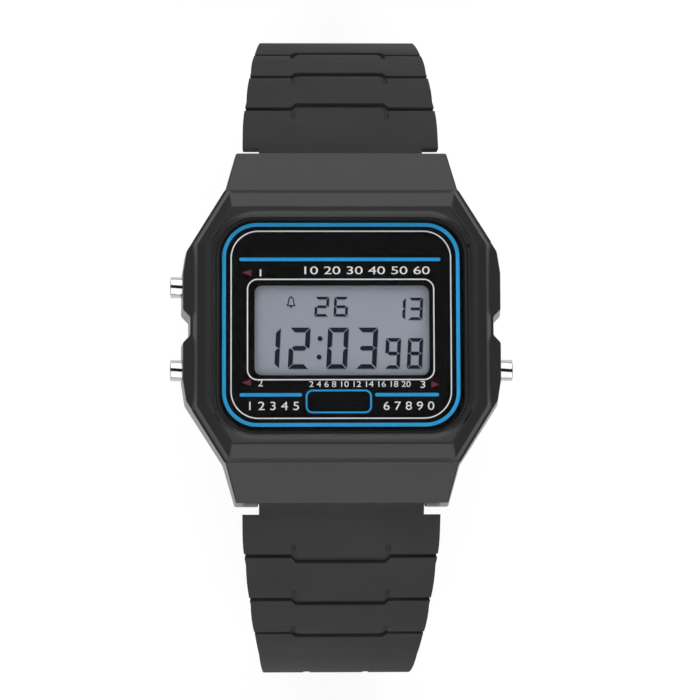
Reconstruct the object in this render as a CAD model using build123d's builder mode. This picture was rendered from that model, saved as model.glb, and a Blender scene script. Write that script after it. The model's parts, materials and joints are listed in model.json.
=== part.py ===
from build123d import *
import os
from math import asin, cos, degrees, hypot, radians, sin

# Digital wristwatch with its resin strap buckled into a loop.
# Millimetres. The origin is the centre of the case back's outer face, +Z points out of the
# crystal, +Y towards 12 o'clock and +X towards 3 o'clock.

os.makedirs("parts", exist_ok=True)

# Shared by all cuts
overrun = 6.0
running = 0.03
seat_gap = 0.10
half_turn = 180.0
quarter_turn = 90.0
cut_corner_share = 0.586

# Case body, seen from above: widths are along X and lengths along Y
case_end_width = 22.5
case_end_length = 37.44
case_flank_width = 24.9
case_flank_length = 29.0
case_corner_width = 33.2
case_corner_length = 16.0
case_width = 33.92
case_guard_length = 11.4
notch_mouth = 3.56
notch_width = 32.38
notch_floor = 2.0

# Case body, heights above the case back's outer face
case_bottom = 0.3
land_height = 7.05
facet_height = 7.95
ridge_height = 8.5
flank_end_height = 5.6
land_edge_height = 6.75
side_draft = 0.45
end_rise_start = 30.0
end_rise = 0.7

# Bezel: the outer facet's foot, the ridge, and the dip inside the ridge
step_run = 0.5
facet_width = 30.82
facet_side_length = 17.2
facet_length = 28.24
facet_end_width = 24.0
ridge_width = 28.9
ridge_side_length = 16.76
ridge_length = 25.3
ridge_end_width = 23.3
dip_run = 3.0
dip_depth = 0.5

# Crystal, its seal and the printed panel below it
opening_width = 26.7
opening_length = 23.0
opening_corner = 4.2
opening_chamfer_angle = 40.0
crystal_top = 7.8
crystal_thickness = 1.3
crystal_edge = 0.18
gasket_wall = 0.22
gasket_height = 1.1
panel_gap = 0.05
panel_thickness = 0.25
ledge_rim = 1.0
ledge_thickness = 0.85

# Module cavity and case back
cavity_width = 26.4
cavity_length = 23.4
cavity_corner = 6.0
back_side_rim = 0.05
back_end_rim = 1.45
back_corner = 3.0
back_thickness = 0.8
back_rim_edge = 0.15
back_gasket_offset = 0.35
back_gasket_width = 0.6
back_gasket_height = 0.5
screw_inset = 2.35
screw_radius = 0.5
screw_head_radius = 0.85
screw_head_height = 0.45
screw_length = 3.0
screw_slot_width = 0.25
screw_slot_depth = 0.2

# Display, offset towards 6 o'clock
display_offset = -0.47
window_width = 18.66
window_length = 9.62
window_corner = 0.8
lcd_width = 19.6
lcd_length = 12.2
lcd_thickness = 1.05
polariser_rim = 0.3
polariser_thickness = 0.2
reflector_thickness = 0.15
connector_width = 18.0
connector_length = 1.0
connector_inset = 0.25

# Circuit board and what sits on it
board_width = 21.4
board_length = 20.4
board_corner = 2.0
board_bottom = 3.1
board_thickness = 0.5
chip_width = 4.6
chip_height = 0.5
chip_edge = 0.12
lamp_width = 0.7
lamp_length = 1.6
lamp_height = 0.55
guide_width = 0.8
guide_length = 8.0
quartz_radius = 0.7
quartz_length = 3.8
quartz_reach = 11.8
capacitor_width = 0.5
capacitor_length = 1.0
capacitor_height = 0.45
capacitor_spacing = 0.9

# Cell, its clip and contact, and the film above it
cell_radius = 10.0
cell_thickness = 1.6
cell_step = 1.2
cell_rim_height = 0.25
cell_bottom = 1.3
clip_thickness = 0.14
clip_width = 5.0
contact_width = 1.6
contact_length = 3.4
contact_window = 4.4
film_sides = 8
film_thickness = 0.1

# Module frame
frame_width = 23.2
frame_length = 22.4
frame_corner = 4.5
frame_bottom = 1.3
frame_top_gap = 0.05
leaf_notch = 3.2
leaf_width = 2.2
leaf_thickness = 0.15
leaf_height = 2.2
leaf_foot = 1.6
leaf_place = 11.2

# Buzzer on the inside of the case back
buzzer_radius = 10.4
buzzer_thickness = 0.15
ceramic_radius = 8.0
buzzer_offset = 1.0
buzzer_spring_radius = 0.45
buzzer_spring_place = 7.9
buzzer_spring_wire = 0.09
buzzer_spring_turns = 2
coil_steps = 8
coil_sides = 4

# Pushers: lengths are distances from the watch's centre along X
pusher_spacing = 9.0
pusher_height = 3.3
pusher_tip = 12.2
pusher_head_start = 16.2
pusher_face = 18.44
pusher_head_radius = 1.15
pusher_stem_radius = 0.5
pusher_bore_radius = 0.8
pusher_well_radius = 1.22
pusher_well_floor = 14.6
seal_place = 14.3
seal_width = 0.42
clip_place = 13.02
clip_ring_width = 0.2
clip_ring_radius = 1.0
clip_groove_radius = 0.32
clip_sides = 8
return_spring_radius = 0.9
return_spring_wire = 0.1
return_spring_turns = 2

# Ears, spring bars and the strap's lug ends, their insets taken from the case's end
ear_gap = 18.0
ear_slot_inset = 3.42
ear_slot_ceiling = 4.1
pin_inset = 1.52
shoulder_gap = 1.23
pin_height = 2.1
pin_radius = 0.75
pin_bore_radius = 0.5
pin_length = 16.6
pin_end_radius = 0.4
pin_plunger_radius = 0.47
pin_plunger_length = 2.6
pin_end_reach = 9.75
pin_crimp = 0.15
pin_hole_clearance = 0.05
pin_spring_radius = 0.3
pin_spring_wire = 0.1
pin_spring_turns = 5
eye_radius = 1.75
tongue_end_width = 17.8

# Strap: centre line of its side view, then its plan, which narrows quickly as far as the knee
strap_thickness = 2.2
lug_straight = 0.8
upper_slope = 28.0
upper_crown_radius = 34.0
upper_side_slope = 74.0
lower_slope = 30.0
lower_crown_radius = 36.8
lower_side_slope = 62.0
lower_side_radius = 40.9
shoulder_width = 21.4
knee_width = 18.1
strap_end_width = 15.8
taper_start = 3.1
taper_knee = 27.0
taper_end = 60.0
taper_steps_share = (0.6, 0.8, 1.0)
edge_bulge = 0.1

# Strap pattern: cross grooves that step round a raised tab, and two tracks
upper_groove_first = 8.5
upper_groove_spacing = 6.3
lower_groove_first = 7.9
lower_groove_spacing = 6.65
groove_count = 3
groove_width = 0.6
groove_depth = 0.5
tab_width = 9.8
tab_lead = 0.6
tab_tail = 1.6
tab_groove_width = 0.9
tab_slot_width = 0.5
tab_corner = 0.5
track_spacing = 7.0
track_width = 0.8
track_depth = 0.38
track_start = 37.5

# Loop: how far it stands below the case back, and the strap's closed end
stand_depth = 49.0
pivot_place = 1.0
pivot_inset = 0.35
buckle_bar_radius = 0.7
buckle_eye_radius = 1.5
layer_gap = 0.25
crossing_angle = 30.0
crossing_start = 9.0
tail_turn = 34.0
tail_tip_share = 0.57
hole_spacing = 6.0
hole_count_tail = 4
hole_count_case = 2
hole_width = 2.3
hole_length = 3.4
hole_corner = 0.6
hole_place = 2.3

# Buckle and keeper
buckle_reach = 8.6
buckle_inner_width = 16.4
buckle_side_width = 1.3
buckle_bar_width = 1.6
buckle_thickness = 1.5
buckle_play = 0.4
buckle_heel = 1.3
buckle_corner = 1.2
tongue_width = 1.7
tongue_thickness = 0.8
tongue_ring = 0.75
tongue_root_along = 0.9
tongue_root_out = 0.5
tongue_rise_along = 2.0
tongue_rise_out = 1.2
tongue_top_along = 2.7
tongue_top_out = 2.9
tongue_crest_along = 3.6
tongue_crest_out = 3.35
tongue_notch_gap = 0.45
tongue_bar_gap = 0.1
keeper_place = 8.0
keeper_length = 5.5
keeper_wall = 1.1
keeper_play = 0.2
keeper_side_play = 0.3
keeper_corner = 0.6

strap_half = strap_thickness / 2
lcd_bottom = board_bottom + board_thickness + lamp_height + seat_gap + reflector_thickness
lcd_top = lcd_bottom + lcd_thickness
panel_bottom = crystal_top - crystal_thickness - panel_gap - panel_thickness
cavity_top = panel_bottom - ledge_thickness
board_top = board_bottom + board_thickness
groove_inner = 2 * back_gasket_offset
groove_outer = groove_inner + 2 * back_gasket_width + 2 * seat_gap
back_width = cavity_width + groove_outer + 2 * back_side_rim
back_length = cavity_length + groove_outer + 2 * back_end_rim
screw_spacing_x = back_width - 2 * screw_inset
screw_spacing_y = back_length - 2 * screw_inset
ear_slot_start = case_end_length / 2 - ear_slot_inset
pin_reach = case_end_length / 2 - pin_inset
shoulder_reach = case_end_length / 2 + shoulder_gap


def finish(piece, name):
    """Label a finished piece and write it under its name."""
    piece.part.label = name
    export_step(piece.part, f"parts/{name}.step")


def around(quadrant):
    """Mirror the points of one quadrant, listed from the Y axis to the X axis, to all four."""
    right = quadrant + [(x, -y) for x, y in reversed(quadrant)]
    return right + [(-x, y) for x, y in reversed(right)]


def cut_corner_rectangle(width, length, radius, mode=Mode.ADD):
    """A rectangle whose cut corners touch round corners of the given radius."""
    cut = radius * cut_corner_share
    Polygon(*around([(width / 2 - cut, length / 2), (width / 2, length / 2 - cut)]), mode=mode)


def halves(*sizes):
    """Half of each full width and length pair."""
    return [(width / 2, length / 2) for width, length in sizes]


case_outline = around(halves(
    (case_end_width, case_end_length),
    (case_flank_width, case_flank_length),
    (case_corner_width, case_corner_length),
    (case_width, case_guard_length),
    (case_width, notch_mouth),
    (notch_width, notch_floor),
))
facet_outline = around(halves((facet_end_width, facet_length), (facet_width, facet_side_length)))
ridge_outline = around(halves((ridge_end_width, ridge_length), (ridge_width, ridge_side_length)))
pusher_places = {
    "upper_left": (-1, pusher_spacing / 2),
    "lower_left": (-1, -pusher_spacing / 2),
    "lower_right": (1, -pusher_spacing / 2),
}


# Case body: drafted walls, then the raised bezel with its facets, then every cut
with BuildPart() as case_body:
    with BuildSketch(Plane.XY.offset(case_bottom)):
        Polygon(*case_outline)
        offset(amount=side_draft, kind=Kind.INTERSECTION)
    with BuildSketch(Plane.XY.offset(land_height)):
        Polygon(*case_outline)
    loft(ruled=True)
    with BuildSketch(Plane.XY.offset(land_height)):
        Polygon(*facet_outline)
        offset(amount=step_run, kind=Kind.INTERSECTION)
    with BuildSketch(Plane.XY.offset(facet_height)):
        Polygon(*facet_outline)
    loft(ruled=True)
    with BuildSketch(Plane.XY.offset(facet_height)):
        Polygon(*facet_outline)
    with BuildSketch(Plane.XY.offset(ridge_height)):
        Polygon(*ridge_outline)
    loft(ruled=True)

    # the dip from the ridge down to the crystal
    with BuildSketch(Plane.XY.offset(ridge_height)):
        Polygon(*ridge_outline)
    with BuildSketch(Plane.XY.offset(ridge_height - dip_depth)):
        Polygon(*ridge_outline)
        offset(amount=-dip_run, kind=Kind.INTERSECTION)
    loft(ruled=True, mode=Mode.SUBTRACT)

    # flanks that fall to both ends, lands that fall to both sides, and the raised underside
    flank_start = facet_length / 2 + step_run
    flank_fall = (land_height - flank_end_height) / (case_end_length / 2 - flank_start)
    with BuildSketch(Plane.YZ):
        Polygon(
            (flank_start, land_height),
            (flank_start + overrun, land_height - overrun * flank_fall),
            (flank_start + overrun, land_height),
        )
        Polygon(
            (end_rise_start / 2, case_bottom),
            (end_rise_start / 2 + overrun, case_bottom + end_rise * overrun / (overrun - running)),
            (end_rise_start / 2 + overrun, case_bottom),
        )
        mirror(about=Plane.YZ)
    extrude(amount=case_width, both=True, mode=Mode.SUBTRACT)
    land_start = facet_width / 2 + step_run
    land_fall = (land_height - land_edge_height) / (case_width / 2 - land_start)
    with BuildSketch(Plane.XZ):
        Polygon(
            (land_start, land_height),
            (land_start + overrun, land_height - overrun * land_fall),
            (land_start + overrun, land_height),
        )
        mirror(about=Plane.YZ)
    extrude(amount=case_end_length, both=True, mode=Mode.SUBTRACT)

    # crystal seat with its sloped mouth, the ledge below it and the module cavity
    with BuildSketch(Plane.XY.offset(crystal_top)):
        RectangleRounded(opening_width, opening_length, opening_corner)
    extrude(amount=ridge_height - crystal_top, taper=-opening_chamfer_angle, mode=Mode.SUBTRACT)
    with BuildSketch(Plane.XY.offset(panel_bottom)):
        RectangleRounded(opening_width, opening_length, opening_corner)
    extrude(amount=crystal_top - panel_bottom, mode=Mode.SUBTRACT)
    with BuildSketch(Plane.XY.offset(cavity_top)):
        cut_corner_rectangle(
            opening_width - 2 * ledge_rim, opening_length - 2 * ledge_rim, opening_corner - ledge_rim
        )
    extrude(amount=ledge_thickness, mode=Mode.SUBTRACT)
    with BuildSketch():
        cut_corner_rectangle(cavity_width, cavity_length, cavity_corner)
    extrude(amount=cavity_top, mode=Mode.SUBTRACT)

    # seat of the case back, groove of its seal and the four screw holes
    with BuildSketch() as back_seat:
        Rectangle(back_width, back_length)
        chamfer(back_seat.vertices(), back_corner)
        offset(amount=seat_gap, kind=Kind.INTERSECTION)
    extrude(amount=back_thickness, mode=Mode.SUBTRACT)
    with BuildSketch(Plane.XY.offset(back_thickness)):
        cut_corner_rectangle(
            cavity_width + groove_outer, cavity_length + groove_outer, cavity_corner + groove_outer / 2
        )
        cut_corner_rectangle(
            cavity_width + groove_inner,
            cavity_length + groove_inner,
            cavity_corner + groove_inner / 2,
            mode=Mode.SUBTRACT,
        )
    extrude(amount=back_gasket_height, mode=Mode.SUBTRACT)
    with BuildSketch(Plane.XY.offset(back_thickness)):
        with GridLocations(screw_spacing_x, screw_spacing_y, 2, 2):
            Circle(screw_radius + running)
    extrude(amount=screw_length - back_thickness + seat_gap, mode=Mode.SUBTRACT)

    # slots between the ears for the strap's ends, and the ears' blind holes
    slot_length = case_end_length / 2 + overrun - ear_slot_start
    with BuildSketch():
        with Locations(
            (0, ear_slot_start + slot_length / 2), (0, -ear_slot_start - slot_length / 2)
        ):
            Rectangle(ear_gap, slot_length)
    extrude(amount=ear_slot_ceiling, mode=Mode.SUBTRACT)
    with BuildSketch(Plane.YZ):
        with Locations((pin_reach, pin_height), (-pin_reach, pin_height)):
            Circle(pin_end_radius + pin_hole_clearance)
    extrude(amount=pin_end_reach + seat_gap, both=True, mode=Mode.SUBTRACT)

    # pusher wells and bores
    for side, place in pusher_places.values():
        with BuildSketch(Plane.YZ.offset(side * pusher_well_floor)):
            with Locations((place, pusher_height)):
                Circle(pusher_well_radius)
        extrude(amount=side * overrun, mode=Mode.SUBTRACT)
        with BuildSketch(Plane.YZ.offset(side * (cavity_width / 2 - overrun))):
            with Locations((place, pusher_height)):
                Circle(pusher_bore_radius)
        extrude(amount=side * 2 * overrun, mode=Mode.SUBTRACT)
finish(case_body, "case_body")


# Crystal, its seal and the printed panel
crystal_width = opening_width - 2 * gasket_wall
crystal_length = opening_length - 2 * gasket_wall
crystal_corner = opening_corner - gasket_wall
with BuildPart() as crystal:
    with BuildSketch(Plane.XY.offset(crystal_top - crystal_thickness)):
        RectangleRounded(crystal_width, crystal_length, crystal_corner)
    extrude(amount=crystal_thickness)
    chamfer(crystal.faces().sort_by(Axis.Z)[-1].edges(), crystal_edge)
finish(crystal, "crystal")

with BuildPart() as crystal_gasket:
    with BuildSketch(Plane.XY.offset(crystal_top - crystal_thickness)):
        RectangleRounded(opening_width, opening_length, opening_corner)
        RectangleRounded(crystal_width, crystal_length, crystal_corner, mode=Mode.SUBTRACT)
    extrude(amount=gasket_height)
finish(crystal_gasket, "crystal_gasket")

with BuildPart() as face_panel:
    with BuildSketch(Plane.XY.offset(panel_bottom)):
        RectangleRounded(opening_width, opening_length, opening_corner)
        with Locations((0, display_offset)):
            RectangleRounded(window_width, window_length, window_corner, mode=Mode.SUBTRACT)
    extrude(amount=panel_thickness)
finish(face_panel, "face_panel")


# Display: two glass sheets with a contact ledge, a front polariser and a rear reflector
display = Plane((0, display_offset, 0))
polariser_length = lcd_length - 2 * connector_length
with BuildPart() as lcd_glass:
    with BuildSketch(display.offset(lcd_bottom)):
        Rectangle(lcd_width, polariser_length + polariser_rim)
    extrude(amount=lcd_thickness / 2)
    with BuildSketch(display.offset(lcd_bottom + lcd_thickness / 2)):
        Rectangle(lcd_width, lcd_length)
    extrude(amount=lcd_thickness / 2)
finish(lcd_glass, "lcd_glass")

with BuildPart() as lcd_front_polariser:
    with BuildSketch(display.offset(lcd_top)):
        Rectangle(lcd_width - polariser_rim, polariser_length)
    extrude(amount=polariser_thickness)
finish(lcd_front_polariser, "lcd_front_polariser")

with BuildPart() as lcd_reflector:
    with BuildSketch(display.offset(lcd_bottom - reflector_thickness)):
        Rectangle(lcd_width - polariser_rim, polariser_length)
    extrude(amount=reflector_thickness)
finish(lcd_reflector, "lcd_reflector")

connector_depth = connector_length - connector_inset
connector_place = (polariser_length + polariser_rim + connector_depth) / 2 + seat_gap
with BuildPart() as lcd_connectors:
    with BuildSketch(display.offset(board_top)):
        with Locations((0, connector_place), (0, -connector_place)):
            Rectangle(connector_width, connector_depth)
    extrude(amount=lcd_bottom + lcd_thickness / 2 - board_top)
finish(lcd_connectors, "lcd_connectors")


# Module frame: holds the display from above, the board and the cell from below
frame_top = cavity_top - frame_top_gap
guide_place = lcd_width / 2 + seat_gap + guide_width / 2
with BuildPart() as module_frame:
    with BuildSketch(Plane.XY.offset(frame_bottom)):
        cut_corner_rectangle(frame_width, frame_length, frame_corner)
    extrude(amount=frame_top - frame_bottom)
    with BuildSketch(Plane.XY.offset(frame_bottom)):
        cut_corner_rectangle(board_width + 2 * seat_gap, board_length + 2 * seat_gap, board_corner)
    extrude(amount=board_top - frame_bottom, mode=Mode.SUBTRACT)
    with BuildSketch(display.offset(lcd_bottom - reflector_thickness)):
        Rectangle(lcd_width + 2 * seat_gap, lcd_length + 2 * seat_gap)
        with Locations((-guide_place, 0)):
            Rectangle(guide_width + 2 * seat_gap, guide_length + 2 * seat_gap)
    extrude(amount=frame_top - lcd_bottom + reflector_thickness, mode=Mode.SUBTRACT)
    with BuildSketch(display.offset(board_top)):
        with Locations((0, connector_place), (0, -connector_place)):
            Rectangle(connector_width + 2 * seat_gap, connector_depth + 2 * seat_gap)
        with Locations((-guide_place, 0)):
            Rectangle(lamp_width + 2 * seat_gap, lamp_length + 2 * seat_gap)
        Rectangle(chip_width + 2 * seat_gap, chip_width + 2 * seat_gap)
    extrude(amount=lcd_bottom - reflector_thickness - board_top, mode=Mode.SUBTRACT)
    with BuildSketch(Plane.XY.offset(frame_bottom)):
        for side, place in pusher_places.values():
            with Locations((side * frame_width / 2, place)):
                Rectangle(2 * (frame_width / 2 - leaf_place + leaf_foot), leaf_notch)
    extrude(amount=board_top + leaf_height / 2 - frame_bottom, mode=Mode.SUBTRACT)
finish(module_frame, "module_frame")

with BuildPart() as light_guide:
    with BuildSketch(display.offset(lcd_bottom - reflector_thickness)):
        with Locations((-guide_place, 0)):
            Rectangle(guide_width, guide_length)
    extrude(amount=frame_top - lcd_bottom + reflector_thickness - seat_gap)
    chamfer(light_guide.faces().sort_by(Axis.Z)[-1].edges().sort_by(Axis.X)[-1], guide_width / 2)
finish(light_guide, "light_guide")

with BuildPart() as lamp:
    with BuildSketch(display.offset(board_top)):
        with Locations((-guide_place, 0)):
            Rectangle(lamp_width, lamp_length)
    extrude(amount=lamp_height)
finish(lamp, "lamp")


# Circuit board and its components
with BuildPart() as circuit_board:
    with BuildSketch(Plane.XY.offset(board_bottom)):
        cut_corner_rectangle(board_width, board_length, board_corner)
    extrude(amount=board_thickness)
finish(circuit_board, "circuit_board")

with BuildPart() as driver_chip:
    with BuildSketch(display.offset(board_top)):
        Rectangle(chip_width, chip_width)
    extrude(amount=chip_height)
    chamfer(driver_chip.faces().sort_by(Axis.Z)[-1].edges(), chip_edge)
finish(driver_chip, "driver_chip")

quartz_centre = quartz_reach * sin(radians(quarter_turn / 2))
quartz_plane = Plane(
    origin=(quartz_centre, quartz_centre, board_bottom - quartz_radius - running),
    x_dir=(0, 0, 1),
    z_dir=(1, -1, 0),
)
with BuildPart() as quartz_resonator:
    with BuildSketch(quartz_plane):
        Circle(quartz_radius)
    extrude(amount=quartz_length / 2, both=True)
finish(quartz_resonator, "quartz_resonator")

with BuildPart() as chip_capacitors:
    with BuildSketch(Plane.XY.offset(board_bottom - capacitor_height)):
        with Locations(Location((quartz_centre, -quartz_centre), quarter_turn / 2)):
            with GridLocations(0, capacitor_spacing, 1, 3):
                Rectangle(capacitor_length, capacitor_width)
    extrude(amount=capacitor_height)
finish(chip_capacitors, "chip_capacitors")


# Cell with its stepped can, the clip below it, and the contact and film above it
cell_top = cell_bottom + cell_thickness
with BuildPart() as battery_cell:
    with BuildSketch(Plane.XY.offset(cell_bottom)):
        Circle(cell_radius)
    extrude(amount=cell_thickness - cell_rim_height)
    with BuildSketch(Plane.XY.offset(cell_top - cell_rim_height)):
        Circle(cell_radius - cell_step)
    extrude(amount=cell_rim_height)
finish(battery_cell, "battery_cell")

clip_leg_reach = board_length / 2 + seat_gap - running
with BuildPart() as battery_clip:
    with BuildSketch(Plane.XY.offset(cell_bottom - clip_thickness)):
        Rectangle(clip_width, 2 * clip_leg_reach)
    extrude(amount=clip_thickness)
    with BuildSketch(Plane.XY.offset(cell_bottom)):
        leg_place = clip_leg_reach - clip_thickness / 2
        with Locations((0, leg_place), (0, -leg_place)):
            Rectangle(clip_width, clip_thickness)
    extrude(amount=board_bottom - cell_bottom)
finish(battery_clip, "battery_clip")

with BuildPart() as battery_contact:
    with BuildSketch(Plane.XY.offset(cell_top)):
        Rectangle(contact_length, contact_width)
    extrude(amount=board_bottom - cell_top)
finish(battery_contact, "battery_contact")

with BuildPart() as insulator_film:
    with BuildSketch(Plane.XY.offset(board_bottom - film_thickness)):
        RegularPolygon(cell_radius, film_sides)
        Rectangle(contact_window, contact_window, mode=Mode.SUBTRACT)
    extrude(amount=film_thickness)
finish(insulator_film, "insulator_film")

# Leaf contacts: an upright tab that the pusher's tip meets, on a foot under the board's edge
with BuildPart() as switch_contacts:
    foot_bottom = board_bottom - leaf_thickness
    for side, place in pusher_places.values():
        with BuildSketch(Plane.XY.offset(foot_bottom)):
            with Locations((side * (leaf_place + leaf_thickness - leaf_foot / 2), place)):
                Rectangle(leaf_foot, leaf_width)
        extrude(amount=leaf_thickness)
        with BuildSketch(Plane.XY.offset(pusher_height - leaf_height / 2)):
            with Locations((side * (leaf_place + leaf_thickness / 2), place)):
                Rectangle(leaf_thickness, leaf_width)
        extrude(amount=leaf_height)
finish(switch_contacts, "switch_contacts")


def coil(turns, wire, radius, centre, direction, length):
    """A spring of square wire, wound in short straight steps from a centre along a direction."""
    steps = turns * coil_steps
    step_angle = radians(2 * half_turn / coil_steps)
    step_rise = (length - 2 * wire) / steps
    with BuildPart() as spring:
        with BuildLine(Plane(centre, z_dir=direction)) as winding:
            Polyline(*[
                (radius * cos(step_angle * k), radius * sin(step_angle * k), wire + step_rise * k)
                for k in range(steps + 1)
            ])
        with BuildSketch(Plane(winding.line @ 0, z_dir=winding.line % 0)):
            RegularPolygon(wire, coil_sides)
        sweep(path=winding.line, transition=Transition.RIGHT)
    return spring


# Buzzer: a brass plate with its ceramic disc on the case back, and the spring that feeds it
buzzer = Plane((-buzzer_offset, buzzer_offset, back_thickness))
with BuildPart() as buzzer_plate:
    with BuildSketch(buzzer):
        Circle(buzzer_radius)
    extrude(amount=buzzer_thickness)
finish(buzzer_plate, "buzzer_plate")

with BuildPart() as buzzer_ceramic:
    with BuildSketch(buzzer.offset(buzzer_thickness)):
        Circle(ceramic_radius)
    extrude(amount=buzzer_thickness)
finish(buzzer_ceramic, "buzzer_ceramic")

buzzer_top = back_thickness + buzzer_thickness
buzzer_spring = coil(
    buzzer_spring_turns,
    buzzer_spring_wire,
    buzzer_spring_radius,
    (-buzzer_spring_place, buzzer_spring_place, buzzer_top),
    (0, 0, 1),
    board_bottom - buzzer_top,
)
finish(buzzer_spring, "buzzer_spring")


# Case back with its seal and four countersunk screws
with BuildPart() as case_back:
    with BuildSketch() as back_plan:
        Rectangle(back_width, back_length)
        chamfer(back_plan.vertices(), back_corner)
    extrude(amount=back_thickness)
    chamfer(case_back.faces().sort_by(Axis.Z)[0].edges(), back_rim_edge)
    with Locations(Plane.XY.rotated((half_turn, 0, 0))):
        with GridLocations(screw_spacing_x, screw_spacing_y, 2, 2):
            CounterBoreHole(
                screw_radius + seat_gap, screw_head_radius + seat_gap, screw_head_height
            )
finish(case_back, "case_back")

with BuildPart() as back_gasket:
    with BuildSketch(Plane.XY.offset(back_thickness)):
        inner = 2 * back_gasket_offset + seat_gap
        outer = inner + 2 * back_gasket_width
        cut_corner_rectangle(cavity_width + outer, cavity_length + outer, cavity_corner + outer / 2)
        cut_corner_rectangle(
            cavity_width + inner,
            cavity_length + inner,
            cavity_corner + inner / 2,
            mode=Mode.SUBTRACT,
        )
    extrude(amount=back_gasket_height)
finish(back_gasket, "back_gasket")

with BuildPart() as case_back_screws:
    with BuildSketch():
        with GridLocations(screw_spacing_x, screw_spacing_y, 2, 2):
            Circle(screw_head_radius)
    extrude(amount=screw_head_height)
    with BuildSketch(Plane.XY.offset(screw_head_height)):
        with GridLocations(screw_spacing_x, screw_spacing_y, 2, 2):
            Circle(screw_radius)
    extrude(amount=screw_length - screw_head_height)
    with BuildSketch():
        with GridLocations(screw_spacing_x, screw_spacing_y, 2, 2):
            Rectangle(2 * screw_head_radius, screw_slot_width)
    extrude(amount=screw_slot_depth, mode=Mode.SUBTRACT)
finish(case_back_screws, "case_back_screws")


# Pushers: a turned head and stem, the seal on it, the clip in its groove inside the case and the
# spring below the head
for name, (side, place) in pusher_places.items():
    axis = Axis((0, place, pusher_height), (side, 0, 0))
    section = Plane(axis.position, x_dir=(side, 0, 0), z_dir=(0, -side, 0))
    with BuildPart() as pusher:
        with BuildSketch(section):
            with Locations(((pusher_tip + pusher_head_start) / 2, pusher_stem_radius / 2)):
                Rectangle(pusher_head_start - pusher_tip, pusher_stem_radius)
            with Locations(((pusher_head_start + pusher_face) / 2, pusher_head_radius / 2)):
                Rectangle(pusher_face - pusher_head_start, pusher_head_radius)
            with Locations((clip_place, clip_groove_radius + pusher_stem_radius / 2)):
                Rectangle(clip_ring_width + 2 * running, pusher_stem_radius, mode=Mode.SUBTRACT)
        revolve(axis=axis)
    finish(pusher, f"pusher_{name}")

    with BuildPart() as seal:
        with BuildSketch(section):
            seal_high = pusher_bore_radius - running
            with Locations((seal_place, (pusher_stem_radius + seal_high) / 2)):
                Rectangle(seal_width, seal_high - pusher_stem_radius)
        revolve(axis=axis)
    finish(seal, f"pusher_seal_{name}")

    with BuildPart() as clip:
        with BuildSketch(Plane.YZ.offset(side * clip_place)):
            with Locations((place, pusher_height)):
                RegularPolygon(clip_ring_radius, clip_sides)
            clip_slot = 2 * (clip_groove_radius + running)
            with Locations((place, pusher_height - clip_slot / 2 + overrun / 2)):
                Rectangle(clip_slot, overrun, mode=Mode.SUBTRACT)
        extrude(amount=clip_ring_width / 2, both=True)
    finish(clip, f"pusher_clip_{name}")

    return_spring = coil(
        return_spring_turns,
        return_spring_wire,
        return_spring_radius,
        (side * pusher_well_floor, place, pusher_height),
        (side, 0, 0),
        pusher_head_start - pusher_well_floor,
    )
    finish(return_spring, f"pusher_spring_{name}")


# Spring bars: a tube in the strap's eye, a sprung tip at each end and the spring between them
pin_places = {"upper": pin_reach, "lower": -pin_reach}
plunger_end = pin_length / 2 - pin_plunger_length
for name, place in pin_places.items():
    with BuildPart() as tube:
        with BuildSketch(Plane.YZ):
            with Locations((place, pin_height)):
                Circle(pin_radius)
                Circle(pin_end_radius + running, mode=Mode.SUBTRACT)
        extrude(amount=pin_length / 2, both=True)
        with BuildSketch(Plane.YZ):
            with Locations((place, pin_height)):
                Circle(pin_bore_radius)
        extrude(amount=pin_length / 2 - pin_crimp, both=True, mode=Mode.SUBTRACT)
    finish(tube, f"spring_bar_{name}")

    for hand, side in {"left": -1, "right": 1}.items():
        with BuildPart() as tip:
            with BuildSketch(Plane.YZ.offset(side * plunger_end)):
                with Locations((place, pin_height)):
                    Circle(pin_plunger_radius)
            extrude(amount=side * (pin_plunger_length - pin_crimp))
            with BuildSketch(Plane.YZ.offset(side * (pin_length / 2 - pin_crimp))):
                with Locations((place, pin_height)):
                    Circle(pin_end_radius)
            extrude(amount=side * (pin_end_reach - pin_length / 2 + pin_crimp))
        finish(tip, f"spring_bar_tip_{name}_{hand}")

    bar_spring = coil(
        pin_spring_turns,
        pin_spring_wire,
        pin_spring_radius,
        (-plunger_end, place, pin_height),
        (1, 0, 0),
        2 * plunger_end,
    )
    finish(bar_spring, f"spring_bar_coil_{name}")


# Strap path: each half's centre line in side view is its slope at the spring bar and a chain of
# straight and round legs, each a length and a clockwise turn in degrees. u runs outward from the
# watch's centre, z is up.
def walk(route, distance):
    """Point (u, z) and heading in degrees at a distance from the spring bar along a route."""
    slope, legs = route
    u, z, heading = pin_reach, pin_height, -slope
    for length, turn in legs:
        step = min(distance, length)
        if turn:
            radius = length / radians(turn)
            ahead = heading - turn * step / length
            u += radius * (sin(radians(heading)) - sin(radians(ahead)))
            z += radius * (cos(radians(ahead)) - cos(radians(heading)))
            heading = ahead
        else:
            u += step * cos(radians(heading))
            z += step * sin(radians(heading))
        distance -= step
    return u, z, heading


def arc(radius, turn):
    """A round leg."""
    return (abs(radius * radians(turn)), turn)


def run(route):
    """Whole length of a route."""
    return sum(length for length, turn in route[1])


def longer(route, *legs):
    """A route with more legs at its end."""
    return route[0], route[1] + list(legs)


def radius_to_line(route, line_point, line_heading):
    """Radius of the arc that leaves the route's end and meets a line at a tangent."""
    u, z, heading = walk(route, run(route))
    start, end = radians(heading), radians(line_heading)
    normal = (-sin(end), cos(end))
    reach = (line_point[0] - u) * normal[0] + (line_point[1] - z) * normal[1]
    gain = (sin(start) - sin(end)) * normal[0] + (cos(end) - cos(start)) * normal[1]
    return reach / gain


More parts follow.
